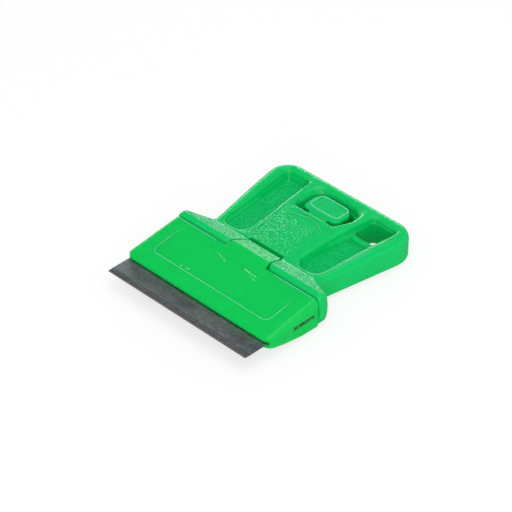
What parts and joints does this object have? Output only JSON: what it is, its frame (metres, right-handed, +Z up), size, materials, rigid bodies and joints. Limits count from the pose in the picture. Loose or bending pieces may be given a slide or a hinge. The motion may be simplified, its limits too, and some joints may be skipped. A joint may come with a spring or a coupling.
{
  "type": "hand scraper",
  "caption": "Pocket scraper for a single-edge blade: wedge-shaped blade head on a flared grip with troughs, a ring hole and a press-tab latch.",
  "frame": {"origin": "middle of the bounding box seen from above, on the flat underside that the scraper rests on", "axes": "+X across the width, +Y from the cutting edge to the rear of the handle, +Z up"},
  "size_m": [0.0408, 0.051, 0.0073],
  "materials": {
    "handle_plastic": "satin green with a fine pebbled moulding texture",
    "head_plastic": "smooth satin green",
    "latch_plastic": "satin green",
    "blade_steel": "dark carbon steel with a ground edge",
    "spine_steel": "brown lacquered steel strip"
  },
  "bodies": {
    "handle": {"handle": "handle_plastic"},
    "head": {"blade_head": "head_plastic", "blade": "blade_steel", "blade_spine": "spine_steel"},
    "latch": {"press_latch": "latch_plastic"}
  },
  "joints": [
    {"name": "head_slide", "type": "slide", "parent": "handle", "child": "head", "axis": [0, -1, 0], "range_m": [0, 0.03], "deforming": ["press_latch"]},
    {"name": "latch_press", "type": "hinge", "parent": "head", "child": "latch", "pos_m": [0, -0.0031, 0.00345], "axis": [-1, 0, 0], "range_deg": [0, 5], "stiffness_Nm_per_rad": 0.5}
  ]
}
